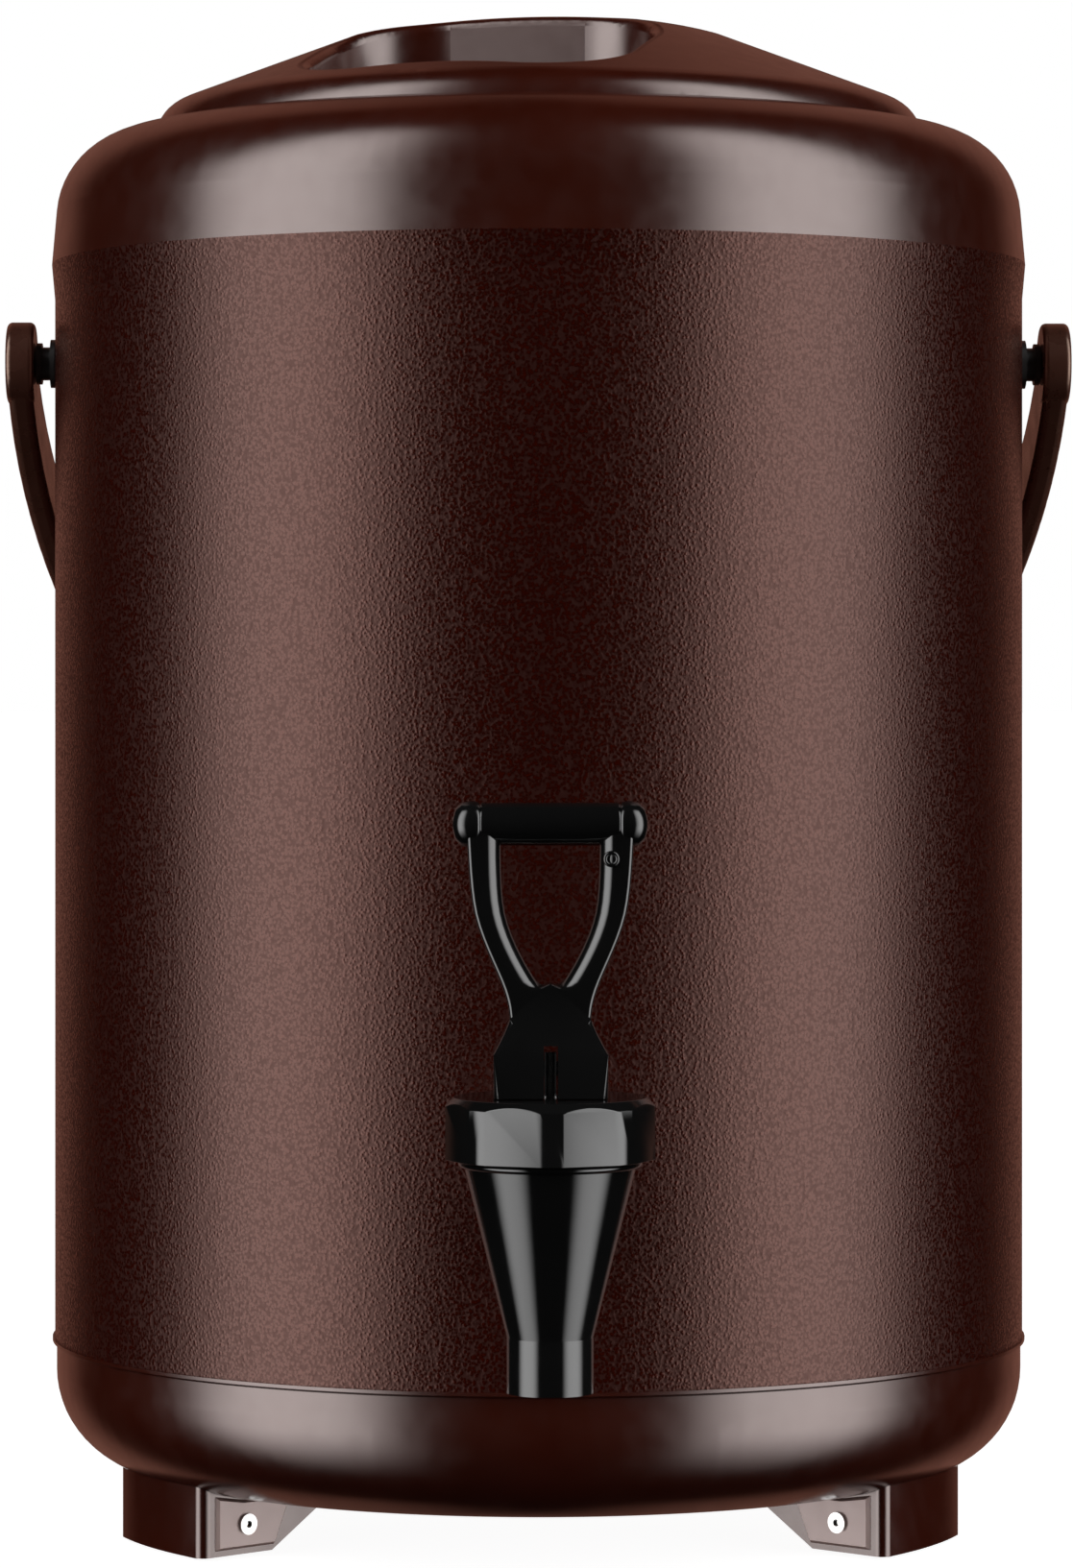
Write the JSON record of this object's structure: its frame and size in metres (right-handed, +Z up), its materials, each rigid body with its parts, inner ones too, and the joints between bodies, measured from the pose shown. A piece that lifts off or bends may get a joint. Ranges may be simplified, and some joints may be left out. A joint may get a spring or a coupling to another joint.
{
  "type": "insulated drink dispenser",
  "caption": "Insulated hot-drink barrel with a textured brown shell, glossy lid and base, swinging bail handle, short feet and a lever-operated spout tap.",
  "frame": {"origin": "the barrel's axis, on the surface that the feet stand on", "axes": "+Z up the barrel's axis; the tap faces -Y; +X is to the right of someone who faces the tap"},
  "size_m": [0.308, 0.3767, 0.4342],
  "materials": {
    "brown_coat": "satin",
    "gloss_brown": "gloss",
    "bail_brown": "satin",
    "plate_brown": "satin",
    "gloss_black": "gloss",
    "stud_black": "satin",
    "tank_steel": "satin",
    "screw_steel": "polished",
    "foam": "matte",
    "black_rubber": "matte",
    "silicone": "matte",
    "liner_white": "satin"
  },
  "bodies": {
    "barrel": {"outer_shell": "brown_coat", "shoulder_ring": "gloss_brown", "base_cover": "gloss_brown", "inner_tank": "tank_steel", "insulation_foam": "foam", "tank_seal": "silicone", "foot_front_left": "gloss_brown", "foot_front_right": "gloss_brown", "foot_rear": "gloss_brown", "foot_pad_front_left": "black_rubber", "foot_pad_front_right": "black_rubber", "foot_pad_rear": "black_rubber", "foot_end_plates": "plate_brown", "foot_plate_screws": "screw_steel", "foot_screws": "screw_steel", "pivot_stud_left": "stud_black", "pivot_stud_right": "stud_black", "pivot_nuts": "screw_steel", "tap_body": "gloss_black", "tap_bonnet": "gloss_black", "tap_nut": "gloss_black", "tap_gasket_outer": "silicone", "tap_gasket_inner": "silicone", "bonnet_seal": "silicone", "valve_spring": "screw_steel"},
    "lid_seal": {"lid_gasket": "silicone"},
    "lid": {"lid_cover": "gloss_brown", "lid_liner": "liner_white", "lid_foam": "foam", "lid_screws": "screw_steel", "vent_valve": "silicone"},
    "bail": {"bail_handle": "bail_brown", "bail_bushes": "stud_black"},
    "tap_stem": {"valve_stem": "screw_steel", "seat_cup": "silicone", "lever_pin": "screw_steel"},
    "tap_lever": {"tap_lever": "gloss_black"}
  },
  "joints": [
    {"name": "lid_lift", "type": "slide", "parent": "barrel", "child": "lid_seal", "axis": [0, 0, 1], "range_m": [0, 0.06]},
    {"name": "lid_twist", "type": "hinge", "parent": "lid_seal", "child": "lid", "pos_m": [0, 0, 0.4], "axis": [0, 0, 1], "range_deg": [0, 60]},
    {"name": "bail_swing", "type": "hinge", "parent": "barrel", "child": "bail", "pos_m": [0, 0, 0.335], "axis": [1, 0, 0], "range_deg": [0, 250]},
    {"name": "stem_lift", "type": "slide", "parent": "barrel", "child": "tap_stem", "axis": [0, 0, 1], "range_m": [0, 0.00565], "stiffness_N_per_m": 150, "springref_m": -0.01, "deforming": ["valve_spring"]},
    {"name": "lever_tilt", "type": "hinge", "parent": "tap_stem", "child": "tap_lever", "pos_m": [0, -0.188, 0.1435], "axis": [1, 0, 0], "range_deg": [0, 30]}
  ],
  "couplings": [
    {"joint": "lever_tilt", "follows": "stem_lift", "rad_per_m": 92.6}
  ]
}
